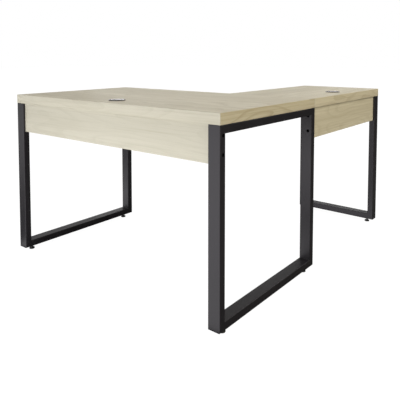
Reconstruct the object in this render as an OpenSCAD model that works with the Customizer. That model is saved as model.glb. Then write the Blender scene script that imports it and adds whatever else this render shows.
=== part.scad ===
// L-shaped corner desk: two laminate tops on three closed tube frames, with an apron board under
// the outer edge of each wing. The main wing runs along X and the return wing runs along +Y from
// its right end. Origin: centre of the footprint, on the floor. +Z up, visitor side towards -Y.

/* [Desk] */
// Height of the worktop above the floor
desk_h = 755; // [700:5:900]
// Length of the main wing, along X
main_len = 1200; // [1000:10:1800]
// Depth of the main wing, along Y
main_depth = 690; // [600:10:800]
// Length that the return adds behind the main wing, along Y
return_len = 800; // [600:10:1200]
// Depth of the return wing, along X
return_depth = 450; // [400:10:600]

/* [Tops] */
// Thickness of both tops
top_t = 40; // [32:1:50]
// Thickness of the edging strip on every edge of the tops
edging_t = 2; // [1:0.5:3]

/* [Frames] */
// Width of the frame tube, across the plane of its frame
tube_w = 50; // [40:1:60]
// Depth of the frame tube, in the plane of its frame
tube_t = 30; // [25:1:40]
// Wall thickness of the frame tube
tube_wall = 2; // [1.5:0.5:3]
// Outer corner radius of the frame tube
tube_r = 2.5; // [2.5:0.5:4]

/* [Aprons] */
// Height of the apron boards
apron_h = 134; // [120:1:200]
// Thickness of the apron boards
apron_t = 15; // [15:1:18]
// Depth of the aprons' outer faces behind the outer faces of the frames
apron_recess = 10; // [4:0.5:11]
// Height between the two bolts at each apron end
bolt_pitch = 64; // [32:32:64]

/* [Feet] */
// Height of the bottom rails above the floor with the feet wound in
foot_gap = 20; // [20:1:30]
// Radius of the glide under each foot
glide_r = 12.5; // [11:0.5:18]
// Distance from the end of a main frame to its feet
foot_inset = 47; // [40:1:100]
// Distance from the end of the return frame to its feet
return_foot_inset = 40; // [40:1:100]

/* [Cable grommets] */
// Radius of the cable hole through each top
grommet_hole_r = 30; // [25:1:40]
// Distance from the outer edge of a wing to the centre of its cable hole
grommet_inset = 95; // [80:5:200]
// Width of the cable slot in each cap
slot_w = 14; // [8:1:20]

/* [Hidden] */
$fn = 64;
EPS = 1;

oak = [0.80, 0.75, 0.62];
oak_core = [0.76, 0.68, 0.52];
black_steel = [0.20, 0.20, 0.21];
zinc = [0.72, 0.72, 0.74];
black_plastic = [0.12, 0.12, 0.12];

// Outline of the L and its levels
x_left = -main_len / 2;
x_right = main_len / 2;
y_out = -(main_depth + return_len) / 2;
y_joint = y_out + main_depth;
y_far = y_joint + return_len;
x_return = x_right - return_depth;
z_under = desk_h - top_t;
frame_h = z_under - foot_gap;

// Bolts enter the ends of the aprons in the middle of their thickness
apron_mid = apron_recess + apron_t / 2;
bolt_drops = [(apron_h - bolt_pitch) / 2, (apron_h + bolt_pitch) / 2];

// M6 bolts with their heads inside the tubes, and the cross dowels that they screw into
bolt_r = 3;
bolt_hole_r = 3.3;
access_hole_r = 6.5;
thread_bore_r = 3.05;
bolt_head_r = 5.5;
bolt_head_h = 4;
socket_r = 2.3;
socket_depth = 2.5;
bolt_reach = 28;
dowel_r = 5;
dowel_len = 13;
dowel_from_end = 20;
pocket_gap = 0.05;

// M6 screws through the top rails and the threaded inserts in the tops
top_screw_reach = 12;
top_screw_inset = 100;
insert_r = 5;
insert_len = 13;

// Flat plates that join the two tops from below
plate_w = 40;
plate_len = 160;
plate_t = 3;
plate_holes = [-60, -25, 25, 60];
plate_outer_x = x_right - 120;
plate_inner_x = x_return + 80;
wood_screw_r = 2.5;
wood_screw_len = 14;
wood_screw_head_r = 4.6;
wood_screw_head_h = 2.4;
plate_hole_r = 2.8;

// M8 levelling feet
stem_r = 4;
stem_bore_r = 4.05;
foot_insert_r = 5.5;
foot_insert_len = 13;
foot_flange_r = 7.5;
foot_flange_h = 1.2;
nut_flats = 13;
nut_h = 5;
glide_disc_h = 6;
glide_h = 9;
glide_neck_r = 8;
stem_seat = 4;
stem_above_rail = 18;

// Cable grommets: a flanged sleeve and a slotted cap
grommet_flange_r = grommet_hole_r + 5;
grommet_flange_h = 3.5;
sleeve_r = grommet_hole_r - 0.2;
sleeve_bore_r = grommet_hole_r - 2;
sleeve_depth = 28;
cap_r = grommet_hole_r + 1.2;
cap_t = 2;
cap_gap = 0.3;
skirt_r = sleeve_bore_r - 0.4;
skirt_wall = 1.6;
skirt_h = 9.5;
slot_start = 18;

// ---- places ----

// A frame's own axes: X along its plane from the outer post, Z up from its bottom rail.
module at_left_frame() translate([x_left + tube_w / 2, y_out, foot_gap]) rotate([0, 0, 90]) children();
module at_corner_frame() translate([x_right - tube_w / 2, y_out, foot_gap]) rotate([0, 0, 90]) children();
module at_return_frame() translate([x_right, y_far - tube_w / 2, foot_gap]) rotate([0, 0, 180]) children();

// Bolt axes at the four apron ends: Z points from the face of the post into the apron, and Y
// points to the inner face of the apron.
module at_main_left_bolts() {
    for (drop = bolt_drops)
        translate([x_left, y_out + apron_mid, z_under - drop]) rotate([0, 90, 0]) children();
}
module at_main_right_bolts() {
    for (drop = bolt_drops)
        translate([x_right, y_out + apron_mid, z_under - drop]) rotate([0, -90, 0]) children();
}
module at_return_near_bolts() {
    for (drop = bolt_drops)
        translate([x_right - apron_mid, y_joint - tube_t, z_under - drop])
            rotate([-90, 0, 0]) rotate([0, 0, 90]) children();
}
module at_return_far_bolts() {
    for (drop = bolt_drops)
        translate([x_right - apron_mid, y_far, z_under - drop])
            rotate([90, 0, 0]) rotate([0, 0, 90]) children();
}

// Screws from a frame's top rail into the top above it, in the frame's own axes.
function top_screw_places(span) = span > 5 * top_screw_inset
    ? [top_screw_inset, span / 2, span - top_screw_inset]
    : [top_screw_inset, span - top_screw_inset];
module at_top_screws(span) {
    for (along = top_screw_places(span))
        translate([along, 0, frame_h]) children();
}

// The two feet of a frame, in the frame's own axes.
module at_feet(span, inset) {
    for (along = [inset, span - inset])
        translate([along, 0, 0]) children();
}

module at_plate_screws(x) {
    for (along = plate_holes)
        translate([x, y_joint + along, z_under]) children();
}

module at_main_grommet() translate([0, y_out + grommet_inset, desk_h]) children();
module at_return_grommet() {
    translate([x_right - grommet_inset, y_joint + return_len / 2, desk_h]) rotate([0, 0, 90]) children();
}

// ---- tops ----

module top_core(size) {
    translate([edging_t, edging_t, 0]) cube([size[0] - 2 * edging_t, size[1] - 2 * edging_t, top_t]);
}

// Four strips round a top.
module top_edging(size) {
    for (y = [0, size[1] - edging_t])
        translate([0, y, 0]) cube([size[0], edging_t, top_t]);
    for (x = [0, size[0] - edging_t])
        translate([x, edging_t, 0]) cube([edging_t, size[1] - 2 * edging_t, top_t]);
}

module insert_pocket() {
    translate([0, 0, -EPS]) cylinder(r = insert_r + pocket_gap, h = insert_len + 2 * EPS);
}
module wood_screw_pocket() translate([0, 0, -EPS]) cylinder(r = wood_screw_r, h = wood_screw_len + EPS);
module grommet_hole() translate([0, 0, -top_t - EPS]) cylinder(r = grommet_hole_r, h = top_t + 2 * EPS);
module plate_screw_pockets() {
    for (x = [plate_outer_x, plate_inner_x])
        at_plate_screws(x) wood_screw_pocket();
}

module main_top() {
    color(oak) difference() {
        translate([x_left, y_out, z_under]) top_core([main_len, main_depth]);
        at_main_grommet() grommet_hole();
        at_left_frame() at_top_screws(main_depth) insert_pocket();
        at_corner_frame() at_top_screws(main_depth) insert_pocket();
        plate_screw_pockets();
    }
}

module return_top() {
    color(oak) difference() {
        translate([x_return, y_joint, z_under]) top_core([return_depth, return_len]);
        at_return_grommet() grommet_hole();
        at_return_frame() at_top_screws(return_depth) insert_pocket();
        plate_screw_pockets();
    }
}

module main_top_edging() {
    color(oak_core) translate([x_left, y_out, z_under]) top_edging([main_len, main_depth]);
}

module return_top_edging() {
    color(oak_core) translate([x_return, y_joint, z_under]) top_edging([return_depth, return_len]);
}

// ---- tube frames ----

module rounded_rect(w, d, r) {
    square([w - 2 * r, d], center = true);
    square([w, d - 2 * r], center = true);
    for (x = [-1, 1])
        for (y = [-1, 1])
            translate([x * (w / 2 - r), y * (d / 2 - r)]) circle(r = r);
}

// Tube along Z with its outer face at X = 0, mitred at 45 degrees at both ends.
module mitred_tube(length) {
    intersection() {
        translate([tube_t / 2, 0, 0]) difference() {
            linear_extrude(length) rounded_rect(tube_t, tube_w, tube_r);
            translate([0, 0, -EPS])
                linear_extrude(length + 2 * EPS)
                    rounded_rect(tube_t - 2 * tube_wall, tube_w - 2 * tube_wall, tube_r - tube_wall / 2);
        }
        rotate([90, 0, 0])
            linear_extrude(tube_w + 2 * EPS, center = true)
                polygon([
                    [-EPS, -EPS],
                    [tube_t + EPS, tube_t + EPS],
                    [tube_t + EPS, length - tube_t - EPS],
                    [-EPS, length + EPS]
                ]);
    }
}

module outer_post() mitred_tube(frame_h);
module inner_post(span) translate([span, 0, 0]) mirror([1, 0, 0]) mitred_tube(frame_h);

// Hole through a tube that is as deep as the bolt's grip: wide in the near wall, so that the head
// passes, and narrow in the far wall, where the head seats. Z points along the bolt.
module bolt_path(grip) {
    translate([0, 0, -EPS]) cylinder(r = access_hole_r, h = tube_wall + 2 * EPS);
    translate([0, 0, grip - tube_wall - EPS]) cylinder(r = bolt_hole_r, h = tube_wall + 2 * EPS);
}

module top_rail(span) {
    difference() {
        translate([0, 0, frame_h]) rotate([0, 90, 0]) mitred_tube(span);
        at_top_screws(span) translate([0, 0, -tube_t]) bolt_path(tube_t);
    }
}
module bottom_rail(span, inset) {
    difference() {
        mirror([0, 0, 1]) rotate([0, 90, 0]) mitred_tube(span);
        at_feet(span, inset)
            translate([0, 0, -EPS]) cylinder(r = foot_insert_r, h = tube_wall + 2 * EPS);
    }
}

module left_frame_outer_post() {
    color(black_steel) difference() {
        at_left_frame() outer_post();
        at_main_left_bolts() bolt_path(tube_w);
    }
}
module left_frame_inner_post() color(black_steel) at_left_frame() inner_post(main_depth);
module left_frame_top_rail() color(black_steel) at_left_frame() top_rail(main_depth);
module left_frame_bottom_rail() color(black_steel) at_left_frame() bottom_rail(main_depth, foot_inset);

module corner_frame_outer_post() {
    color(black_steel) difference() {
        at_corner_frame() outer_post();
        at_main_right_bolts() bolt_path(tube_w);
    }
}
module corner_frame_inner_post() {
    color(black_steel) difference() {
        at_corner_frame() inner_post(main_depth);
        at_return_near_bolts() bolt_path(tube_t);
    }
}
module corner_frame_top_rail() color(black_steel) at_corner_frame() top_rail(main_depth);
module corner_frame_bottom_rail() color(black_steel) at_corner_frame() bottom_rail(main_depth, foot_inset);

module return_frame_outer_post() {
    color(black_steel) difference() {
        at_return_frame() outer_post();
        at_return_far_bolts() bolt_path(tube_w);
    }
}
module return_frame_inner_post() color(black_steel) at_return_frame() inner_post(return_depth);
module return_frame_top_rail() color(black_steel) at_return_frame() top_rail(return_depth);
module return_frame_bottom_rail() {
    color(black_steel) at_return_frame() bottom_rail(return_depth, return_foot_inset);
}

// ---- aprons and their bolts ----

// Hole for a bolt in the end of an apron that starts at the given depth along the bolt axis.
module apron_bolt_hole(start) {
    translate([0, 0, start - EPS]) cylinder(r = bolt_hole_r, h = bolt_reach + 3);
}

// Cross dowels lie across the apron, in pockets open on its inner face: Z points to that face.
module across_apron(start) {
    translate([0, 0, start + dowel_from_end]) rotate([-90, 0, 0])
        translate([0, 0, -apron_t / 2]) children();
}

module dowel_pocket() {
    translate([0, 0, apron_t - dowel_len - pocket_gap])
        cylinder(r = dowel_r + pocket_gap, h = dowel_len + EPS);
}
module cross_dowel() {
    difference() {
        translate([0, 0, apron_t - dowel_len]) cylinder(r = dowel_r, h = dowel_len);
        translate([0, 0, apron_t / 2]) rotate([90, 0, 0])
            cylinder(r = thread_bore_r, h = 4 * dowel_r, center = true);
    }
}

// Bolt that seats its head on the inside of the tube wall next to the part that it holds.
module bolt(grip, reach) {
    seat = grip - tube_wall;
    difference() {
        union() {
            translate([0, 0, seat]) cylinder(r = bolt_r, h = tube_wall + reach);
            translate([0, 0, seat - bolt_head_h]) cylinder(r = bolt_head_r, h = bolt_head_h);
        }
        translate([0, 0, seat - bolt_head_h - EPS])
            cylinder(r = socket_r, h = socket_depth + EPS, $fn = 6);
    }
}

module main_apron() {
    color(oak) difference() {
        translate([x_left + tube_w, y_out + apron_recess, z_under - apron_h])
            cube([main_len - 2 * tube_w, apron_t, apron_h]);
        at_main_left_bolts() apron_bolt_hole(tube_w);
        at_main_right_bolts() apron_bolt_hole(tube_w);
        at_main_left_bolts() across_apron(tube_w) dowel_pocket();
        at_main_right_bolts() across_apron(tube_w) dowel_pocket();
    }
}

module return_apron() {
    color(oak) difference() {
        translate([x_right - apron_recess - apron_t, y_joint, z_under - apron_h])
            cube([apron_t, return_len - tube_w, apron_h]);
        at_return_near_bolts() apron_bolt_hole(tube_t);
        at_return_far_bolts() apron_bolt_hole(tube_w);
        at_return_near_bolts() across_apron(tube_t) dowel_pocket();
        at_return_far_bolts() across_apron(tube_w) dowel_pocket();
    }
}

module main_apron_left_bolts() color(zinc) at_main_left_bolts() bolt(tube_w, bolt_reach);
module main_apron_right_bolts() color(zinc) at_main_right_bolts() bolt(tube_w, bolt_reach);
module return_apron_near_bolts() color(zinc) at_return_near_bolts() bolt(tube_t, bolt_reach);
module return_apron_far_bolts() color(zinc) at_return_far_bolts() bolt(tube_w, bolt_reach);
module main_apron_cross_dowels() {
    color(zinc) {
        at_main_left_bolts() across_apron(tube_w) cross_dowel();
        at_main_right_bolts() across_apron(tube_w) cross_dowel();
    }
}
module return_apron_cross_dowels() {
    color(zinc) {
        at_return_near_bolts() across_apron(tube_t) cross_dowel();
        at_return_far_bolts() across_apron(tube_w) cross_dowel();
    }
}

// ---- screws that hold the tops ----

module top_screw() translate([0, 0, -tube_t]) bolt(tube_t, top_screw_reach);
module top_insert() {
    difference() {
        cylinder(r = insert_r, h = insert_len);
        translate([0, 0, -EPS]) cylinder(r = thread_bore_r, h = insert_len + 2 * EPS);
    }
}

module left_frame_top_screws() color(zinc) at_left_frame() at_top_screws(main_depth) top_screw();
module corner_frame_top_screws() color(zinc) at_corner_frame() at_top_screws(main_depth) top_screw();
module return_frame_top_screws() color(zinc) at_return_frame() at_top_screws(return_depth) top_screw();
module main_top_inserts() {
    color(zinc) {
        at_left_frame() at_top_screws(main_depth) top_insert();
        at_corner_frame() at_top_screws(main_depth) top_insert();
    }
}
module return_top_inserts() color(zinc) at_return_frame() at_top_screws(return_depth) top_insert();

// ---- plates that join the tops ----

module joining_plate(x) {
    color(black_steel) difference() {
        translate([x - plate_w / 2, y_joint - plate_len / 2, z_under - plate_t])
            cube([plate_w, plate_len, plate_t]);
        at_plate_screws(x)
            translate([0, 0, -plate_t - EPS]) cylinder(r = plate_hole_r, h = plate_t + 2 * EPS);
    }
}
module plate_screws(x) {
    color(zinc) at_plate_screws(x) {
        translate([0, 0, -plate_t]) cylinder(r = wood_screw_r, h = plate_t + wood_screw_len);
        translate([0, 0, -plate_t - wood_screw_head_h])
            cylinder(r = wood_screw_head_r, h = wood_screw_head_h);
    }
}

module outer_joining_plate() joining_plate(plate_outer_x);
module inner_joining_plate() joining_plate(plate_inner_x);
module outer_plate_screws() plate_screws(plate_outer_x);
module inner_plate_screws() plate_screws(plate_inner_x);

// ---- levelling feet ----

module foot_insert() {
    difference() {
        union() {
            cylinder(r = foot_insert_r, h = foot_insert_len);
            translate([0, 0, -foot_flange_h]) cylinder(r = foot_flange_r, h = foot_flange_h);
        }
        translate([0, 0, -foot_flange_h - EPS])
            cylinder(r = stem_bore_r, h = foot_insert_len + foot_flange_h + 2 * EPS);
    }
}
module lock_nut() {
    translate([0, 0, -foot_flange_h - nut_h]) difference() {
        cylinder(r = nut_flats / 2 / cos(30), h = nut_h, $fn = 6);
        translate([0, 0, -EPS]) cylinder(r = stem_bore_r, h = nut_h + 2 * EPS);
    }
}
module foot_stem() {
    translate([0, 0, stem_seat - foot_gap])
        cylinder(r = stem_r, h = foot_gap - stem_seat + stem_above_rail);
}
module foot_glide() {
    difference() {
        translate([0, 0, -foot_gap]) rotate_extrude() polygon([
            [0, 0],
            [glide_r - 1, 0],
            [glide_r, 1],
            [glide_r, glide_disc_h],
            [glide_neck_r, glide_h],
            [0, glide_h]
        ]);
        translate([0, 0, stem_seat - foot_gap]) cylinder(r = stem_r, h = glide_h);
    }
}

// One foot of a frame: end 0 is at the outer post and end 1 at the inner post.
module at_foot(span, inset, end) {
    translate([end == 0 ? inset : span - inset, 0, 0]) children();
}
module at_left_foot(end) at_left_frame() at_foot(main_depth, foot_inset, end) children();
module at_corner_foot(end) at_corner_frame() at_foot(main_depth, foot_inset, end) children();
module at_return_foot(end) at_return_frame() at_foot(return_depth, return_foot_inset, end) children();

module left_frame_foot_inserts() color(zinc) at_left_frame() at_feet(main_depth, foot_inset) foot_insert();
module corner_frame_foot_inserts() {
    color(zinc) at_corner_frame() at_feet(main_depth, foot_inset) foot_insert();
}
module return_frame_foot_inserts() {
    color(zinc) at_return_frame() at_feet(return_depth, return_foot_inset) foot_insert();
}
module left_frame_lock_nuts() color(zinc) at_left_frame() at_feet(main_depth, foot_inset) lock_nut();
module corner_frame_lock_nuts() color(zinc) at_corner_frame() at_feet(main_depth, foot_inset) lock_nut();
module return_frame_lock_nuts() {
    color(zinc) at_return_frame() at_feet(return_depth, return_foot_inset) lock_nut();
}

module left_foot_stem(end) color(zinc) at_left_foot(end) foot_stem();
module left_foot_glide(end) color(black_plastic) at_left_foot(end) foot_glide();
module corner_foot_stem(end) color(zinc) at_corner_foot(end) foot_stem();
module corner_foot_glide(end) color(black_plastic) at_corner_foot(end) foot_glide();
module return_foot_stem(end) color(zinc) at_return_foot(end) foot_stem();
module return_foot_glide(end) color(black_plastic) at_return_foot(end) foot_glide();

// ---- cable grommets ----

// Tube down through the top, with a flange that holds the cap in a shallow recess.
module grommet_sleeve() {
    difference() {
        union() {
            translate([0, 0, -sleeve_depth]) cylinder(r = sleeve_r, h = sleeve_depth + EPS);
            rotate_extrude() polygon([
                [0, 0],
                [grommet_flange_r, 0],
                [grommet_flange_r, grommet_flange_h - 1],
                [grommet_flange_r - 1, grommet_flange_h],
                [0, grommet_flange_h]
            ]);
        }
        translate([0, 0, -sleeve_depth - EPS])
            cylinder(r = sleeve_bore_r, h = sleeve_depth + grommet_flange_h + 2 * EPS);
        translate([0, 0, grommet_flange_h - cap_t]) cylinder(r = cap_r + cap_gap, h = cap_t + EPS);
    }
}

// Disc with a skirt and a cable slot that is open at the rim.
module grommet_cap() {
    difference() {
        union() {
            translate([0, 0, grommet_flange_h - cap_t]) cylinder(r = cap_r, h = cap_t);
            translate([0, 0, grommet_flange_h - cap_t - skirt_h]) difference() {
                cylinder(r = skirt_r, h = skirt_h + cap_t / 2);
                translate([0, 0, -EPS]) cylinder(r = skirt_r - skirt_wall, h = skirt_h + EPS);
            }
        }
        translate([0, -slot_start, -skirt_h]) cylinder(r = slot_w / 2, h = 2 * skirt_h);
        translate([-slot_w / 2, -slot_start - grommet_hole_r, -skirt_h])
            cube([slot_w, grommet_hole_r, 2 * skirt_h]);
    }
}

module main_grommet_sleeve() color(black_plastic) at_main_grommet() grommet_sleeve();
module main_grommet_cap() color(black_plastic) at_main_grommet() grommet_cap();
module return_grommet_sleeve() color(black_plastic) at_return_grommet() grommet_sleeve();
module return_grommet_cap() color(black_plastic) at_return_grommet() grommet_cap();

// ---- the assembly ----

main_top();
main_top_edging();
return_top();
return_top_edging();
left_frame_outer_post();
left_frame_inner_post();
left_frame_top_rail();
left_frame_bottom_rail();
corner_frame_outer_post();
corner_frame_inner_post();
corner_frame_top_rail();
corner_frame_bottom_rail();
return_frame_outer_post();
return_frame_inner_post();
return_frame_top_rail();
return_frame_bottom_rail();
main_apron();
return_apron();
main_apron_left_bolts();
main_apron_right_bolts();
return_apron_near_bolts();
return_apron_far_bolts();
main_apron_cross_dowels();
return_apron_cross_dowels();
left_frame_top_screws();
corner_frame_top_screws();
return_frame_top_screws();
main_top_inserts();
return_top_inserts();
outer_joining_plate();
inner_joining_plate();
outer_plate_screws();
inner_plate_screws();
left_frame_foot_inserts();
corner_frame_foot_inserts();
return_frame_foot_inserts();
left_frame_lock_nuts();
corner_frame_lock_nuts();
return_frame_lock_nuts();
left_foot_stem(0);  // left_outer_foot_stem
left_foot_glide(0);  // left_outer_foot_glide
left_foot_stem(1);  // left_inner_foot_stem
left_foot_glide(1);  // left_inner_foot_glide
corner_foot_stem(0);  // corner_outer_foot_stem
corner_foot_glide(0);  // corner_outer_foot_glide
corner_foot_stem(1);  // corner_inner_foot_stem
corner_foot_glide(1);  // corner_inner_foot_glide
return_foot_stem(0);  // return_outer_foot_stem
return_foot_glide(0);  // return_outer_foot_glide
return_foot_stem(1);  // return_inner_foot_stem
return_foot_glide(1);  // return_inner_foot_glide
main_grommet_sleeve();
main_grommet_cap();
return_grommet_sleeve();
return_grommet_cap();
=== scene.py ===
import math

import bmesh
import bpy
from mathutils import Matrix, Vector


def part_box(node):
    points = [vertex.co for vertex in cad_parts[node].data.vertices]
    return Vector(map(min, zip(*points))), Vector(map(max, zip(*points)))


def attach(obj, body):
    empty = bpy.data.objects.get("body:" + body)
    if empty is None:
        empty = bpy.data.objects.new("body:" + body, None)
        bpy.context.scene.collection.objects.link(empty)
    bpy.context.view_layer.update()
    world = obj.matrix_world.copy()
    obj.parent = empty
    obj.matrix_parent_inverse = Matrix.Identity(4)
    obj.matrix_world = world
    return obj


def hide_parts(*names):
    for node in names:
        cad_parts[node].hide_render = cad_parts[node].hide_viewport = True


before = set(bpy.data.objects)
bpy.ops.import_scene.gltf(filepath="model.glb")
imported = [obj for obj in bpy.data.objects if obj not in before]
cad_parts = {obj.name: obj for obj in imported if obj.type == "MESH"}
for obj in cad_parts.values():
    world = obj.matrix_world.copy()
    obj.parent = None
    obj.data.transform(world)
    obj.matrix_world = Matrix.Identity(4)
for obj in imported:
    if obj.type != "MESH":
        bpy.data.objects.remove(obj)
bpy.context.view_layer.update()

# The looks of an L-shaped corner desk, in metres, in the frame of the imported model. The visitor
# side faces -Y, the main wing runs along X, and the return wing runs along Y.

# ---- places, from the frame ----

TOP_LO, TOP_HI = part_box("main_top_edging")
RETURN_LO, RETURN_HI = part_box("return_top_edging")
WORKTOP_Z = TOP_HI.z
FRAMES = ("left_frame", "corner_frame", "return_frame")
FEET = ("left_outer", "left_inner", "corner_outer", "corner_inner", "return_outer", "return_inner")

# ---- sizes of the details ----

# Rounding of the worktops' long outer edges
ARRIS = 0.0011

# Places closer than TOUCH are taken as the same, and a radius under ON_AXIS as none
TOUCH = 1e-6
ON_AXIS = 1e-7

# Weld beads: radius, distance between rings of points, sides round the bead, and how far they
# stop from a tube's face. The bead beside a bolt hole stops further away.
WELD_R = 0.0016
WELD_STEP = 0.0016
WELD_SIDES = 10
WELD_INSET = 0.003
WELD_INSET_AT_BOLT = 0.025

# The bead's ripples: share of its radius, and turn from one ring of points to the next
RIPPLE, RIPPLE_TURN = 0.10, 2.1
SWELL, SWELL_TURN = 0.05, 0.7
WELD_END_SHARE = 0.2
WELD_END_POWER = 6

# Foot stems and lock nuts: an M8 thread and 13 mm across flats
THREAD_PITCH = 0.00125
THREAD_DEPTH = 0.0006
THREAD_SIDES = 20
ROWS_PER_TURN = 6
ROD_CHAMFER = 0.001
NUT_FLATS = 0.013
NUT_BORE_R = 0.0041
NUT_BORE_CHAMFER = 0.0005
NUT_CHAMFER = 0.0009
NUT_CHAMFER_MID = 0.0004
NUT_FACE_SHARE = 0.96
NUT_SIDES = 72

# Glides: the dish under the sole, the rim's rounding, the groove in the rim, the rounding of the
# shoulder, and the neck that holds the stem
DISH_DEPTH = 0.0006
DISH_INSET = 0.004
SOLE_INSET = 0.0032
RIM_R = 0.001
GROOVE_DEPTH = 0.0004
GROOVE_LEVELS = (0.0026, 0.0029, 0.0033, 0.0036)
SHOULDER_R = 0.0014
SHOULDER_SHARE = 0.6
NECK_R = 0.0072
NECK_ROUND = 0.0008
NECK_BORE_R = 0.0046
NECK_CHAMFER = (0.0002, 0.0005)

# Cable grommets: the sleeve's rim, its seat for the cap and its tube, then the cap, its skirt and
# its slot
RIM_ROUND = 0.0022
SEAT_R = 0.0315
SEAT_INNER_R = 0.0285
SEAT_DEPTH = 0.002
SEAT_ROUND = 0.0004
SEAT_CHAMFER = 0.0005
SLEEVE_BORE_R = 0.028
SLEEVE_OUTER_R = 0.0298
TUBE_CHAMFER = (0.0004, 0.0006)
SLEEVE_SIDES = 96
CAP_R = 0.0312
CAP_THICK = 0.002
CAP_ROUND = 0.0005
SKIRT_R = 0.0276
SKIRT_INNER_R = 0.0260
SLOT_HALF = 0.007
SLOT_START = 0.018
SLOT_CORNER = 0.0012
SLOT_STEPS = 16

# ---- stage and camera ----

FLOOR_SIZE = 60.0
FLOOR_GLOW = 0.96

# The surround is brightest in this direction, and fades to its dim value in the opposite one
BRIGHT_SIDE = (-0.58, -0.72, 0.38)
SURROUND_DIM = 0.06
SURROUND_BRIGHT = 0.78
SURROUND_FADE = (-0.8, 0.9)

# Metres, degrees and millimetres of lens on a 36 mm sensor
CAMERA_PLACE = (1.5239, -1.9984, 0.9402)
CAMERA_TURN = 38.785
CAMERA_TILT = 3.3
CAMERA_LENS = 43.757
CAMERA_SENSOR = 36
CAMERA_SHIFT = -0.2911
CAMERA_REACH = (0.05, 200)

# Warm light on the faces that look along +X
WARM = (1.0, 0.94, 0.80)

# The low cards: how high the floor's lie, and how far in front of the desk the upright ones stand
FLOOR_CARD_Z = 0.005
UPRIGHT_CARD_Y = -1.45
VISITOR_SIDE_Y = -0.7


def middle(node):
    lo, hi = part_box(node)
    return (lo + hi) / 2


# ---- node helpers ----


class Shader:
    """A material's node tree, with short ways to add and join nodes."""

    def __init__(self, name):
        self.material = bpy.data.materials.new(name)
        self.material.use_nodes = True
        self.tree = self.material.node_tree
        self.surface = self.tree.nodes["Principled BSDF"]

    def add(self, kind, **settings):
        node = self.tree.nodes.new(kind)
        for key, value in settings.items():
            setattr(node, key, value)
        return node

    def join(self, source, target):
        self.tree.links.new(source, target)
        return target

    def feed(self, socket, value):
        """Sets a socket to a number or colour, or joins another socket to it."""
        if isinstance(value, bpy.types.NodeSocket):
            self.join(value, socket)
        else:
            socket.default_value = value

    def place(self, stretch, turn=(0, 0, 0), shift=(0, 0, 0)):
        """Object coordinates in metres, turned and then stretched."""
        where = self.add("ShaderNodeTexCoord").outputs["Object"]
        turned = self.add("ShaderNodeMapping")
        turned.inputs["Rotation"].default_value = turn
        turned.inputs["Location"].default_value = shift
        self.join(where, turned.inputs["Vector"])
        scaled = self.add("ShaderNodeVectorMath", operation="MULTIPLY")
        self.join(turned.outputs["Vector"], scaled.inputs[0])
        scaled.inputs[1].default_value = stretch
        return scaled.outputs["Vector"]

    def noise(self, where, detail=3.0, rough=0.5):
        node = self.add("ShaderNodeTexNoise")
        self.join(where, node.inputs["Vector"])
        node.inputs["Scale"].default_value = 1.0
        node.inputs["Detail"].default_value = detail
        node.inputs["Roughness"].default_value = rough
        return node.outputs["Fac"]

    def math(self, operation, a, b):
        node = self.add("ShaderNodeMath", operation=operation)
        self.feed(node.inputs[0], a)
        self.feed(node.inputs[1], b)
        return node.outputs["Value"]

    def spread(self, value, low, high, to_low=0.0, to_high=1.0):
        """Maps low..high smoothly to to_low..to_high and holds the ends."""
        node = self.add("ShaderNodeMapRange", interpolation_type="SMOOTHSTEP")
        self.join(value, node.inputs["Value"])
        node.inputs["From Min"].default_value = low
        node.inputs["From Max"].default_value = high
        node.inputs["To Min"].default_value = to_low
        node.inputs["To Max"].default_value = to_high
        return node.outputs["Result"]

    def blend(self, share, a, b):
        """The first colour, with a share of the second."""
        node = self.add("ShaderNodeMix", data_type="RGBA")
        self.feed(node.inputs["Factor"], share)
        self.feed(node.inputs["A"], a)
        self.feed(node.inputs["B"], b)
        return node.outputs["Result"]

    def bump(self, height, depth, strength, onto=None):
        node = self.add("ShaderNodeBump")
        node.inputs["Strength"].default_value = strength
        node.inputs["Distance"].default_value = depth
        self.join(height, node.inputs["Height"])
        if onto is not None:
            self.join(onto, node.inputs["Normal"])
        return node.outputs["Normal"]


def rgb(r, g, b):
    return (r, g, b, 1.0)


# ---- materials ----

# Turns that bring a board's grain direction onto the pattern's X axis
GRAIN_ALONG = {"X": (0, 0, 0), "Y": (0, 0, -math.pi / 2)}

# How often each part of the oak pattern repeats in a metre, along the grain and across it
WANDER = (0.9, 5.0, 5.0)
RINGS = (0.35, 9.0, 9.0)
STAVES = (0.25, 10.0, 10.0)
STREAKS = (2.2, 150.0, 150.0)
FIBRES = (7.0, 620.0, 620.0)
PORES = (26.0, 1500.0, 1500.0)

# How far the growth rings wander, and how much of the deep tone each part of the pattern adds
RING_WANDER = 5.5
STREAK_SHARE = 0.55
GROWTH_SHARE = 0.50
FIBRE_SHARE = 0.22
PORE_SHARE = 0.30
PORE_SHADE = 0.62

# Depths of the embossed grain
FIBRE_DEPTH = 0.00012
PORE_DEPTH = 0.00010


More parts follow.
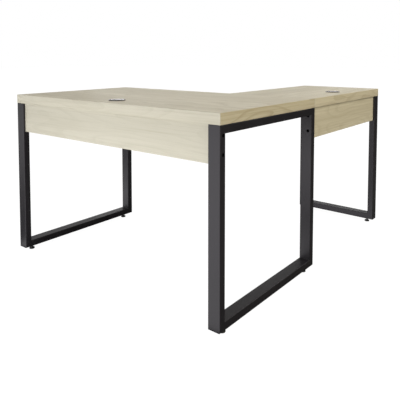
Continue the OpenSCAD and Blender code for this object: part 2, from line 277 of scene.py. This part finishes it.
def oak(name, along, pale, deep, figure=1.0, shift=(0, 0, 0)):
    """Printed oak laminate: growth figure, fibre streaks, pores and a fine embossed grain."""
    s = Shader(name)
    turn = GRAIN_ALONG[along]
    wander = s.noise(s.place(WANDER, turn, shift), detail=2.0, rough=0.55)
    rings_at = s.place(RINGS, turn, shift)
    bent = s.add("ShaderNodeVectorMath", operation="ADD")
    s.join(rings_at, bent.inputs[0])
    s.join(s.math("MULTIPLY", wander, RING_WANDER), bent.inputs[1])
    rings = s.add("ShaderNodeTexWave", wave_type="BANDS", bands_direction="Y", wave_profile="SAW")
    s.join(bent.outputs["Vector"], rings.inputs["Vector"])
    rings.inputs["Scale"].default_value = 0.9
    rings.inputs["Distortion"].default_value = 1.6
    rings.inputs["Detail"].default_value = 3.0
    rings.inputs["Detail Scale"].default_value = 1.4
    growth = rings.outputs["Fac"]
    staves = s.noise(s.place(STAVES, turn, shift), detail=1.0)
    streaks = s.noise(s.place(STREAKS, turn, shift), detail=5.0, rough=0.62)
    fibres = s.noise(s.place(FIBRES, turn, shift), detail=3.0, rough=0.6)
    pores = s.spread(s.noise(s.place(PORES, turn, shift), detail=2.0), 0.60, 0.74)
    mellow = rgb(*[(p + d) / 2 for p, d in zip(pale, deep)])
    tone = s.blend(s.spread(staves, 0.30, 0.70), rgb(*pale), mellow)
    tone = s.blend(s.spread(streaks, 0.42, 0.68, 0.0, STREAK_SHARE), tone, rgb(*deep))
    figured = s.spread(growth, 0.55, 1.0, 0.0, GROWTH_SHARE * figure)
    tone = s.blend(figured, tone, rgb(*deep))
    tone = s.blend(s.spread(fibres, 0.50, 0.72, 0.0, FIBRE_SHARE), tone, rgb(*deep))
    dark = rgb(*[d * PORE_SHADE for d in deep])
    tone = s.blend(s.math("MULTIPLY", pores, PORE_SHARE), tone, dark)
    s.join(tone, s.surface.inputs["Base Color"])
    s.join(s.spread(streaks, 0.35, 0.70, 0.40, 0.52), s.surface.inputs["Roughness"])
    s.surface.inputs["Specular IOR Level"].default_value = 0.30
    grain = s.bump(fibres, FIBRE_DEPTH, 0.5)
    pitted = s.bump(s.math("SUBTRACT", 1.0, pores), PORE_DEPTH, 0.6, grain)
    s.join(pitted, s.surface.inputs["Normal"])
    return s.material


# How often each part of the other finishes repeats in a metre, and how deep it is
PEEL, PEEL_DEPTH = (700.0, 700.0, 700.0), 0.00006
COAT_CLOUD = (9.0, 9.0, 3.0)
DUST, DUST_SHARE = (60.0, 60.0, 16.0), 0.03
ZINC_CLOUD = (120.0, 120.0, 120.0)
TURNING_LINES, LINE_DEPTH = (300.0, 300.0, 4000.0), 0.00003
SPARK, SPARK_DEPTH = (1800.0, 1800.0, 1800.0), 0.00003
FLOW = (40.0, 40.0, 40.0)
GRIT = (3.0, 3.0, 3.0)


def powder_coat(name, colour):
    """Satin powder coat on steel: a fine orange peel, with slow changes of tone and gloss."""
    s = Shader(name)
    peel = s.noise(s.place(PEEL), detail=2.0, rough=0.6)
    cloud = s.noise(s.place(COAT_CLOUD), detail=4.0, rough=0.6)
    dust = s.noise(s.place(DUST), detail=5.0, rough=0.7)
    tone = s.blend(s.spread(cloud, 0.35, 0.70), rgb(*colour), rgb(*[c * 1.45 for c in colour]))
    tone = s.blend(s.spread(dust, 0.60, 0.85, 0.0, DUST_SHARE), tone, rgb(0.10, 0.10, 0.10))
    s.join(tone, s.surface.inputs["Base Color"])
    s.join(s.spread(cloud, 0.30, 0.75, 0.36, 0.44), s.surface.inputs["Roughness"])
    s.surface.inputs["Specular IOR Level"].default_value = 0.40
    s.surface.inputs["Specular Tint"].default_value = rgb(0.98, 0.94, 1.0)
    s.join(s.bump(peel, PEEL_DEPTH, 0.55), s.surface.inputs["Normal"])
    return s.material


def zinc_plate(name):
    """Bright zinc plating, with fine turning lines and clouded patches."""
    s = Shader(name)
    cloud = s.noise(s.place(ZINC_CLOUD), detail=4.0, rough=0.6)
    lines = s.noise(s.place(TURNING_LINES), detail=2.0)
    s.join(
        s.blend(s.spread(cloud, 0.35, 0.70), rgb(0.62, 0.62, 0.63), rgb(0.44, 0.44, 0.47)),
        s.surface.inputs["Base Color"],
    )
    s.surface.inputs["Metallic"].default_value = 1.0
    s.join(s.spread(cloud, 0.30, 0.75, 0.24, 0.42), s.surface.inputs["Roughness"])
    s.join(s.bump(lines, LINE_DEPTH, 0.4), s.surface.inputs["Normal"])
    return s.material


def moulded_plastic(name, colour, gloss_low, gloss_high):
    """Moulded plastic with a fine spark-eroded texture."""
    s = Shader(name)
    spark = s.noise(s.place(SPARK), detail=3.0, rough=0.65)
    flow = s.noise(s.place(FLOW), detail=3.0)
    s.join(
        s.blend(s.spread(flow, 0.35, 0.70), rgb(*colour), rgb(*[c * 1.35 for c in colour])),
        s.surface.inputs["Base Color"],
    )
    s.join(s.spread(spark, 0.30, 0.70, gloss_low, gloss_high), s.surface.inputs["Roughness"])
    s.join(s.bump(spark, SPARK_DEPTH, 0.5), s.surface.inputs["Normal"])
    return s.material


def pale_floor(name):
    """A plain floor that glows to a pale tone for the camera, and is darker for other light."""
    s = Shader(name)
    grit = s.noise(s.place(GRIT), detail=5.0, rough=0.6)
    s.join(
        s.blend(s.spread(grit, 0.30, 0.70), rgb(0.12, 0.12, 0.12), rgb(0.10, 0.10, 0.10)),
        s.surface.inputs["Base Color"],
    )
    s.surface.inputs["Roughness"].default_value = 0.9
    s.surface.inputs["Specular IOR Level"].default_value = 0.05
    s.surface.inputs["Emission Color"].default_value = rgb(1, 1, 1)
    seen = s.add("ShaderNodeLightPath").outputs["Is Camera Ray"]
    s.join(s.math("MULTIPLY", seen, FLOOR_GLOW), s.surface.inputs["Emission Strength"])
    return s.material


# The laminate's pale and deep tones. It is one laminate, but each side of the desk has its own
# pair: lit and shaded copies, with the light and shade that falls on that side painted into the
# tones, so that its brightness meets the photograph's under the lights below. The pairs of the
# edge strips along X and of the main apron are greyer, a painted sheen.
TOP_PALE, TOP_DEEP = (0.562, 0.521, 0.413), (0.380, 0.338, 0.248)
EDGE_PALE, EDGE_DEEP = (0.505, 0.480, 0.396), (0.390, 0.361, 0.283)
FRONT_PALE, FRONT_DEEP = (0.490, 0.468, 0.390), (0.375, 0.350, 0.278)
SIDE_PALE, SIDE_DEEP = (0.530, 0.479, 0.348), (0.305, 0.255, 0.158)
RETURN_PALE, RETURN_DEEP = (0.570, 0.527, 0.400), (0.370, 0.325, 0.222)
RETURN_EDGE_PALE, RETURN_EDGE_DEEP = (0.560, 0.512, 0.382), (0.358, 0.308, 0.204)

# Lit and shaded copies of one oak: each takes the pair with its side's painted light and shade.
OAK_TOP_MAIN = oak("oak_top_main", "X", TOP_PALE, TOP_DEEP, figure=1.3)
OAK_TOP_RETURN = oak("oak_top_return", "Y", TOP_PALE, TOP_DEEP, figure=0.7, shift=(3.1, 1.7, 0))
OAK_EDGE_X = oak("oak_edge_x", "X", EDGE_PALE, EDGE_DEEP, figure=0.6, shift=(0.4, 2.3, 0.9))
OAK_EDGE_Y = oak("oak_edge_y", "Y", SIDE_PALE, SIDE_DEEP, figure=1.2, shift=(1.3, 0.6, 2.2))
OAK_EDGE_RETURN = oak(
    "oak_edge_return", "Y", RETURN_EDGE_PALE, RETURN_EDGE_DEEP, figure=1.2, shift=(4.3, 2.6, 1.2)
)
OAK_APRON_MAIN = oak("oak_apron_main", "X", FRONT_PALE, FRONT_DEEP, figure=0.6, shift=(5.2, 0.3, 1.4))
OAK_APRON_RETURN = oak(
    "oak_apron_return", "Y", RETURN_PALE, RETURN_DEEP, figure=0.8, shift=(2.6, 4.1, 0.7)
)
BLACK_STEEL = powder_coat("black_powder_coat", (0.0055, 0.0050, 0.0062))
ZINC = zinc_plate("zinc_plate")
GLIDE_PLASTIC = moulded_plastic("glide_plastic", (0.018, 0.018, 0.018), 0.50, 0.62)
GROMMET_PLASTIC = moulded_plastic("grommet_plastic", (0.046, 0.038, 0.040), 0.13, 0.21)
FLOOR = pale_floor("pale_floor")

# ---- mesh helpers ----


def finish_mesh(name, bm, material, sharp=35.0):
    """Turns a bmesh into an object with smooth faces and sharp edges where it turns by more."""
    bmesh.ops.recalc_face_normals(bm, faces=bm.faces)
    mesh = bpy.data.meshes.new(name)
    bm.to_mesh(mesh)
    bm.free()
    for face in mesh.polygons:
        face.use_smooth = True
    mesh.set_sharp_from_angle(angle=math.radians(sharp))
    mesh.materials.append(material)
    piece = bpy.data.objects.new(name, mesh)
    bpy.context.scene.collection.objects.link(piece)
    return piece


def settle(piece, body, slot, *nodes):
    """Rides a piece on its body, in place of the nodes that it stands for. Its slot is not used."""
    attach(piece, body)
    if nodes:
        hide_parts(*nodes)
    return piece


def block(lo, hi):
    bm = bmesh.new()
    bmesh.ops.create_cube(bm, size=1.0)
    for v in bm.verts:
        v.co = Vector([lo[i] + (v.co[i] + 0.5) * (hi[i] - lo[i]) for i in range(3)])
    return bm


def round_edges(bm, wanted, radius, segments=3):
    edges = [e for e in bm.edges if wanted(e.verts[0].co, e.verts[1].co)]
    bmesh.ops.bevel(bm, geom=edges, offset=radius, segments=segments, profile=0.5, affect="EDGES")


def turns(count):
    """Angles in radians, evenly round a circle."""
    return [2 * math.pi * k / count for k in range(count)]


def skin(bm, rings):
    """Faces between each ring of points and the next."""
    for low, high in zip(rings, rings[1:]):
        for k in range(len(low)):
            j = (k + 1) % len(low)
            bm.faces.new([low[k], low[j], high[j], high[k]])


def revolve(profile, centre, segments=64):
    """A closed solid turned about Z. Its (radius, height) points start and end on the axis, or
    the last one joins the first."""
    bm = bmesh.new()
    rings = []
    for radius, height in profile:
        if radius < ON_AXIS:
            rings.append([bm.verts.new(centre + Vector((0, 0, height)))])
            continue
        rings.append([
            bm.verts.new(centre + Vector((radius * math.cos(a), radius * math.sin(a), height)))
            for a in turns(segments)
        ])
    if profile[0][0] > ON_AXIS:
        rings.append(rings[0])
    for low, high in zip(rings, rings[1:]):
        for i in range(segments):
            j = i + 1
            corners = [low[i % len(low)], low[j % len(low)], high[j % len(high)], high[i % len(high)]]
            unique = [c for k, c in enumerate(corners) if c not in corners[:k]]
            if len(unique) > 2:
                bm.faces.new(unique)
    return bm


def arc(cx, cz, radius, start, end, steps=5):
    """Points on a circle, from one angle to another, in degrees."""
    return [
        (
            cx + radius * math.cos(math.radians(start + (end - start) * i / steps)),
            cz + radius * math.sin(math.radians(start + (end - start) * i / steps)),
        )
        for i in range(steps + 1)
    ]


# ---- tops and aprons ----


def paint(node, material):
    """Gives a CAD node its finished material."""
    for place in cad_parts[node].material_slots:
        place.material = material


def edging_strip(name, lo, hi, outer_axis, outer_value, material, node):
    """One edging strip, with its two long outer edges rounded."""
    bm = block(lo, hi)

    def outer(a, b):
        on_side = all(abs(v[outer_axis] - outer_value) < TOUCH for v in (a, b))
        return on_side and abs(a.z - b.z) < TOUCH

    round_edges(bm, outer, ARRIS)
    return settle(finish_mesh(name, bm, material), "desk", "oak_edging", node)


def edging(wing, lo, hi, side):
    """Four strips round a top: two long ones along X and two between them along Y."""
    core_lo, core_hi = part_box(f"{wing}_top")
    strips = (
        ("visitor", (lo.x, lo.y), (hi.x, core_lo.y), 1, lo.y, OAK_EDGE_X),
        ("user", (lo.x, core_hi.y), (hi.x, hi.y), 1, hi.y, OAK_EDGE_X),
        ("left", (lo.x, core_lo.y), (core_lo.x, core_hi.y), 0, lo.x, side),
        ("right", (core_hi.x, core_lo.y), (hi.x, core_hi.y), 0, hi.x, side),
    )
    for place, low, high, axis, outer, material in strips:
        name = f"{wing}_edging_{place}"
        edging_strip(name, (*low, lo.z), (*high, hi.z), axis, outer, material, f"{wing}_top_edging")


def make_tops():
    paint("main_top", OAK_TOP_MAIN)
    paint("return_top", OAK_TOP_RETURN)
    edging("main", TOP_LO, TOP_HI, OAK_EDGE_Y)
    edging("return", RETURN_LO, RETURN_HI, OAK_EDGE_RETURN)
    paint("main_apron", OAK_APRON_MAIN)
    paint("return_apron", OAK_APRON_RETURN)


# ---- frames ----


def weld_bead(name, start, end, seed):
    """A low weld bead with even ripples, from one point to another."""
    bm = bmesh.new()
    along = end - start
    steps = max(8, int(along.length / WELD_STEP))
    axis = along.normalized()
    side = axis.orthogonal().normalized()
    up = axis.cross(side)
    rings = []
    for i in range(steps + 1):
        taper = math.sqrt(max(0.0, 1 - abs(2 * i / steps - 1) ** WELD_END_POWER))
        ripple = 1 + RIPPLE * math.sin(i * RIPPLE_TURN + seed)
        ripple += SWELL * math.sin(i * SWELL_TURN + 2 * seed)
        radius = max(WELD_R * taper * ripple, WELD_R * WELD_END_SHARE)
        at = start + along * (i / steps)
        rings.append([
            bm.verts.new(at + radius * (side * math.cos(a) + up * math.sin(a)))
            for a in turns(WELD_SIDES)
        ])
    skin(bm, rings)
    bm.faces.new(rings[0][::-1])
    bm.faces.new(rings[-1])
    return settle(finish_mesh(name, bm, BLACK_STEEL, sharp=60), "desk", "black_steel")


def frame_welds(name):
    """Fillet welds in the four inside corners of a frame."""
    lo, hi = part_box(f"{name}_top_rail")
    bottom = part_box(f"{name}_bottom_rail")[1].z
    plane_x = (hi.x - lo.x) > (hi.y - lo.y)
    rail_t = hi.z - lo.z
    axis = 0 if plane_x else 1
    across = 1 - axis
    seed = 0
    far_inset = WELD_INSET_AT_BOLT if name == "corner_frame" else WELD_INSET
    for end, u in (("a", lo[axis] + rail_t), ("b", hi[axis] - rail_t)):
        for level, z in (("top", lo.z), ("bottom", bottom)):
            start = Vector((0, 0, z))
            finish = Vector((0, 0, z))
            start[axis] = finish[axis] = u
            start[across] = lo[across] + WELD_INSET
            finish[across] = hi[across] - (far_inset if (end, level) == ("b", "top") else WELD_INSET)
            weld_bead(f"{name}_weld_{level}_{end}", start, finish, seed)
            seed += 1


def make_frames():
    for name in FRAMES:
        for tube in ("outer_post", "inner_post", "top_rail", "bottom_rail"):
            paint(f"{name}_{tube}", BLACK_STEEL)
        frame_welds(name)
    for node in ("outer_joining_plate", "inner_joining_plate"):
        paint(node, BLACK_STEEL)


# ---- feet and hardware ----


def threaded_rod(name, node, material, body):
    """A rod with a true helical thread, chamfered at its free end."""
    lo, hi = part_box(node)
    centre = (lo + hi) / 2
    radius = (hi.x - lo.x) / 2
    rows = int((hi.z - lo.z) / THREAD_PITCH * ROWS_PER_TURN)
    bm = bmesh.new()
    rings = []
    for row in range(rows + 1):
        z = lo.z + (hi.z - lo.z) * row / rows
        chamfer = min(1.0, 0.8 + 0.2 * (hi.z - z) / ROD_CHAMFER)
        ring = []
        for k, a in enumerate(turns(THREAD_SIDES)):
            turn = (z / THREAD_PITCH - k / THREAD_SIDES) % 1.0
            depth = THREAD_DEPTH * abs(2 * turn - 1)
            r = (radius - depth) * chamfer
            ring.append(bm.verts.new((centre.x + r * math.cos(a), centre.y + r * math.sin(a), z)))
        rings.append(ring)
    skin(bm, rings)
    bm.faces.new(rings[0][::-1])
    bm.faces.new(rings[-1])
    return settle(finish_mesh(name, bm, material, sharp=50), body, "zinc_steel", node)


def glide(name, node, body):
    """The moulded foot: a dished sole, a rounded rim, a groove and a neck that holds the stem."""
    lo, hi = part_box(node)
    centre = Vector(((lo.x + hi.x) / 2, (lo.y + hi.y) / 2, lo.z))
    r = (hi.x - lo.x) / 2
    h = hi.z - lo.z
    groove = r - GROOVE_DEPTH
    chamfer, recess = NECK_CHAMFER
    g0, g1, g2, g3 = GROOVE_LEVELS
    profile = [(0, DISH_DEPTH), (r - DISH_INSET, DISH_DEPTH), (r - SOLE_INSET, 0)]
    profile += arc(r - RIM_R, RIM_R, RIM_R, -90, 0)
    profile += [(r, g0), (groove, g1), (groove, g2), (r, g3)]
    profile += arc(r - SHOULDER_R, h * SHOULDER_SHARE - SHOULDER_R, SHOULDER_R, 0, 75)
    profile += arc(NECK_R, h - NECK_ROUND, NECK_ROUND, 40, 90)
    profile += [(NECK_BORE_R, h), (NECK_BORE_R - chamfer, h - recess), (0, h - recess)]
    piece = finish_mesh(name, revolve(profile, centre), GLIDE_PLASTIC, sharp=40)
    return settle(piece, body, "glide_plastic", node)


def hex_nut(bm, centre, flats, height, bore):
    """A hexagon nut with the corners of both faces turned off to a cone."""
    apothem = flats / 2
    corner = apothem / math.cos(math.pi / 6)
    face = apothem * NUT_FACE_SHARE
    below = [0, NUT_CHAMFER_MID, NUT_CHAMFER]
    levels = below + [height - z for z in below[::-1]]

    def outline(z, a):
        """How far the nut's outside is from its axis, at a height and an angle."""
        hexagon = apothem / math.cos((a % (math.pi / 3)) - math.pi / 6)
        cone = face + (corner - face) * min(1.0, min(z, height - z) / NUT_CHAMFER)
        return min(hexagon, cone)

    rings = []
    for z in levels:
        rings.append([
            bm.verts.new(centre + Vector((r * math.cos(a), r * math.sin(a), z)))
            for r, a in [(outline(z, a), a) for a in turns(NUT_SIDES)]
        ])
    for z in (height, height - NUT_BORE_CHAMFER, NUT_BORE_CHAMFER, 0):
        r = bore + (NUT_BORE_CHAMFER if z in (0, height) else 0)
        rings.append([
            bm.verts.new(centre + Vector((r * math.cos(a), r * math.sin(a), z)))
            for a in turns(NUT_SIDES)
        ])
    skin(bm, rings + rings[:1])


def lock_nuts(name):
    """The two lock nuts of one frame."""
    node = f"{name}_lock_nuts"
    lo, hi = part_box(node)
    bm = bmesh.new()
    for foot in ("outer", "inner"):
        rod = middle(f"{name.replace('_frame', '')}_{foot}_foot_stem")
        hex_nut(bm, Vector((rod.x, rod.y, lo.z)), NUT_FLATS, hi.z - lo.z, NUT_BORE_R)
    return settle(finish_mesh(f"{name}_nuts", bm, ZINC, sharp=25), "desk", "zinc_steel", node)


def make_feet():
    for foot in FEET:
        body = f"{foot}_foot"
        threaded_rod(f"{foot}_threaded_stem", f"{foot}_foot_stem", ZINC, body)
        glide(f"{foot}_moulded_glide", f"{foot}_foot_glide", body)
    for name in FRAMES:
        lock_nuts(name)
        paint(f"{name}_foot_inserts", ZINC)
        paint(f"{name}_top_screws", ZINC)
    for node in (
        "main_apron_left_bolts", "main_apron_right_bolts", "return_apron_near_bolts",
        "return_apron_far_bolts", "main_apron_cross_dowels", "return_apron_cross_dowels",
        "main_top_inserts", "return_top_inserts", "outer_plate_screws", "inner_plate_screws",
    ):
        paint(node, ZINC)


# ---- cable grommets ----


def grommet_sleeve(wing):
    """The flanged sleeve: a soft outer rim, a seat for the cap and a thin tube below."""
    node = f"{wing}_grommet_sleeve"
    lo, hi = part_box(node)
    centre = Vector(((lo.x + hi.x) / 2, (lo.y + hi.y) / 2, WORKTOP_Z))
    rim = (hi.x - lo.x) / 2
    rise = hi.z - WORKTOP_Z
    tube = lo.z - WORKTOP_Z
    seat = rise - SEAT_DEPTH
    inset, up = TUBE_CHAMFER
    profile = [(rim, 0), (rim, rise - RIM_ROUND)]
    profile += arc(rim - RIM_ROUND, rise - RIM_ROUND, RIM_ROUND, 0, 90)
    profile += arc(SEAT_R + SEAT_ROUND, rise - SEAT_ROUND, SEAT_ROUND, 90, 180, 3)
    profile += [(SEAT_R, seat), (SEAT_INNER_R, seat), (SLEEVE_BORE_R, seat - SEAT_CHAMFER)]
    profile += [(SLEEVE_BORE_R, tube + up), (SLEEVE_BORE_R + inset, tube)]
    profile += [(SLEEVE_OUTER_R - inset, tube), (SLEEVE_OUTER_R, tube + up), (SLEEVE_OUTER_R, 0)]
    solid = revolve(profile, centre, SLEEVE_SIDES)
    piece = finish_mesh(f"{wing}_grommet_flange", solid, GROMMET_PLASTIC, sharp=40)
    return settle(piece, "desk", "grommet_plastic", node)


def slotted_disc(radius, slot_half, slot_start, steps=72):
    """Outline of a disc with a slot that is open at the rim towards -Y."""
    rim_angle = math.asin((slot_half + SLOT_CORNER) / radius)
    points = []
    for i in range(steps + 1):
        a = -math.pi / 2 + rim_angle + (2 * math.pi - 2 * rim_angle) * i / steps
        points.append((radius * math.cos(a), radius * math.sin(a)))
    mouth = -radius * math.cos(rim_angle) + SLOT_CORNER
    points.append((-slot_half, mouth))
    for i in range(SLOT_STEPS + 1):
        a = math.pi - math.pi * i / SLOT_STEPS
        points.append((slot_half * math.cos(a), -slot_start + slot_half * math.sin(a)))
    points.append((slot_half, mouth))
    return points


def grommet_cap(wing, turn):
    """The slotted cap, with a rounded rim and a skirt below that follows the slot."""
    node = f"{wing}_grommet_cap"
    lo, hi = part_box(node)
    sleeve = middle(f"{wing}_grommet_sleeve")
    top = hi.z
    place = Matrix.Translation((sleeve.x, sleeve.y, 0)) @ Matrix.Rotation(turn, 4, "Z")
    bm = bmesh.new()
    outline = slotted_disc(CAP_R, SLOT_HALF, SLOT_START)
    face = bm.faces.new([bm.verts.new((x, y, top - CAP_THICK)) for x, y in outline])
    raised = bmesh.ops.extrude_face_region(bm, geom=[face])
    upper = [v for v in raised["geom"] if isinstance(v, bmesh.types.BMVert)]
    for v in upper:
        v.co.z = top
    rim = [e for e in bm.edges if all(abs(v.co.z - top) < TOUCH for v in e.verts)]
    bmesh.ops.bevel(bm, geom=rim, offset=CAP_ROUND, segments=3, profile=0.5, affect="EDGES")
    add_skirt(bm, lo.z, top - CAP_THICK / 2)
    bmesh.ops.transform(bm, matrix=place, verts=bm.verts)
    piece = finish_mesh(f"{wing}_slotted_cap", bm, GROMMET_PLASTIC, sharp=40)
    return settle(piece, node, "grommet_plastic", node)


def add_skirt(bm, bottom, top):
    """The cap's skirt, open at the slot."""
    outline = skirt_ring(SKIRT_R, SKIRT_INNER_R, SLOT_HALF)
    lower = [bm.verts.new((x, y, bottom)) for x, y in outline]
    above = [bm.verts.new((x, y, top)) for x, y in outline]
    skin(bm, [lower, above])
    count = len(lower)
    half = count // 2
    for i in range(half - 1):
        bm.faces.new([lower[i], lower[count - 1 - i], lower[count - 2 - i], lower[i + 1]])
        bm.faces.new([above[i], above[i + 1], above[count - 2 - i], above[count - 1 - i]])


def skirt_ring(outer, inner, slot_half, steps=60):
    """Outline of a ring that is open at the slot: out along its outer side and back along its
    inner side."""
    a0 = math.asin(slot_half / outer)
    b0 = math.asin(slot_half / inner)
    out = []
    back = []
    for i in range(steps + 1):
        a = -math.pi / 2 + a0 + (2 * math.pi - 2 * a0) * i / steps
        b = -math.pi / 2 + b0 + (2 * math.pi - 2 * b0) * i / steps
        out.append((outer * math.cos(a), outer * math.sin(a)))
        back.append((inner * math.cos(b), inner * math.sin(b)))
    return out + back[::-1]


def make_grommets():
    for wing, turn in (("main", 0.0), ("return", math.pi / 2)):
        grommet_sleeve(wing)
        grommet_cap(wing, turn)


# ---- stage, lights and camera ----


def make_floor():
    mesh = bpy.data.meshes.new("floor")
    half = FLOOR_SIZE / 2
    corners = [(-half, -half, 0), (half, -half, 0), (half, half, 0), (-half, half, 0)]
    mesh.from_pydata(corners, [], [(0, 1, 2, 3)])
    mesh.materials.append(FLOOR)
    floor = bpy.data.objects.new("floor", mesh)
    bpy.context.scene.collection.objects.link(floor)


def make_world():
    """White where the camera looks past the floor. For light, a soft surround that is brighter on
    the visitor's left and dim on the far right."""
    world = bpy.data.worlds.new("studio")
    bpy.context.scene.world = world
    world.use_nodes = True
    nodes, links = world.node_tree.nodes, world.node_tree.links
    nodes.clear()
    out = nodes.new("ShaderNodeOutputWorld")
    seen = nodes.new("ShaderNodeBackground")
    seen.inputs["Color"].default_value = rgb(1, 1, 1)
    lit = nodes.new("ShaderNodeBackground")
    lit.inputs["Color"].default_value = rgb(1.0, 0.995, 0.98)
    where = nodes.new("ShaderNodeTexCoord")
    toward = nodes.new("ShaderNodeVectorMath")
    toward.operation = "DOT_PRODUCT"
    toward.inputs[1].default_value = BRIGHT_SIDE
    links.new(where.outputs["Generated"], toward.inputs[0])
    level = nodes.new("ShaderNodeMapRange")
    level.interpolation_type = "SMOOTHSTEP"
    links.new(toward.outputs["Value"], level.inputs["Value"])
    level.inputs["From Min"].default_value = SURROUND_FADE[0]
    level.inputs["From Max"].default_value = SURROUND_FADE[1]
    level.inputs["To Min"].default_value = SURROUND_DIM
    level.inputs["To Max"].default_value = SURROUND_BRIGHT
    links.new(level.outputs["Result"], lit.inputs["Strength"])
    path = nodes.new("ShaderNodeLightPath")
    mix = nodes.new("ShaderNodeMixShader")
    links.new(path.outputs["Is Camera Ray"], mix.inputs["Fac"])
    links.new(lit.outputs["Background"], mix.inputs[1])
    links.new(seen.outputs["Background"], mix.inputs[2])
    links.new(mix.outputs["Shader"], out.inputs["Surface"])


def softbox(name, place, aim, width, height, power, colour=(1, 1, 1)):
    """An area light, width by height in metres, that the camera doesn't see."""
    data = bpy.data.lights.new(name, "AREA")
    data.shape = "RECTANGLE"
    data.size, data.size_y = width, height
    data.energy = power
    data.color = colour
    light = bpy.data.objects.new(name, data)
    light.location = place
    light.rotation_euler = (Vector(aim) - Vector(place)).to_track_quat("-Z", "Y").to_euler()
    light.visible_camera = False
    bpy.context.scene.collection.objects.link(light)
    return light


def floor_card(name, x, y, width, depth, power):
    """A light that lies on the floor and faces up."""
    softbox(name, (x, y, FLOOR_CARD_Z), (x, y, 1.0), width, depth, power)


def upright_card(name, x, z, width, height, power):
    """A light that stands in front of the visitor side and faces the desk."""
    softbox(name, (x, UPRIGHT_CARD_Y, z), (x, VISITOR_SIDE_Y, z), width, height, power)


def make_lights():
    """Soft lights from above and around, and low cards that stand in for the pale surroundings
    that the satin steel reflects. The camera sees none of them."""
    make_world()
    softbox("key_visitor_side", (-1.2, -4.2, 2.9), (0, -0.4, 0.5), 2.6, 1.5, 3)
    upright_card("front_card", 0.0, 0.40, 2.0, 0.78, 10.8)
    upright_card("left_card", -2.0, 0.38, 2.2, 0.74, 4.4)
    floor_card("floor_card", 0.24, -1.10, 1.82, 0.66, 6.0)
    floor_card("left_floor_card", -1.1, -0.45, 0.9, 0.55, 3.2)
    floor_card("inner_floor_card", 0.38, 0.42, 0.5, 0.5, 1.1)
    floor_card("corner_floor_card", 0.42, -0.32, 0.24, 0.40, 0.5)
    softbox("overhead", (-1.2, 0.0, 3.0), (-0.6, 0, 0), 3.0, 3.0, 17)
    softbox("fill_right", (3.3, 0.9, 2.6), (0.5, 0.3, 0.5), 2.2, 2.2, 88, WARM)
    softbox("camera_side", (3.1, -1.1, 0.85), (0.5, 0.3, 0.6), 1.4, 0.9, 22, WARM)
    softbox("fill_rear", (1.8, 3.6, 3.2), (0, 0.2, 0.5), 2.4, 2.4, 26)
    softbox("horizon_strip", (-3.0, 5.2, 1.3), (0, 0, 0.75), 6.0, 0.6, 26)


def make_camera():
    data = bpy.data.cameras.new("camera")
    data.lens = CAMERA_LENS
    data.sensor_width = CAMERA_SENSOR
    data.shift_y = CAMERA_SHIFT
    data.clip_start, data.clip_end = CAMERA_REACH
    camera = bpy.data.objects.new("camera", data)
    camera.location = CAMERA_PLACE
    camera.rotation_euler = (math.radians(90 - CAMERA_TILT), 0, math.radians(CAMERA_TURN))
    bpy.context.scene.collection.objects.link(camera)
    bpy.context.scene.camera = camera
    bpy.context.scene.view_settings.view_transform = "Standard"
    bpy.context.scene.view_settings.look = "None"


# ---- the scene ----

make_camera()
make_floor()
make_lights()
make_tops()
make_frames()
make_feet()
make_grommets()

bpy.context.view_layer.update()
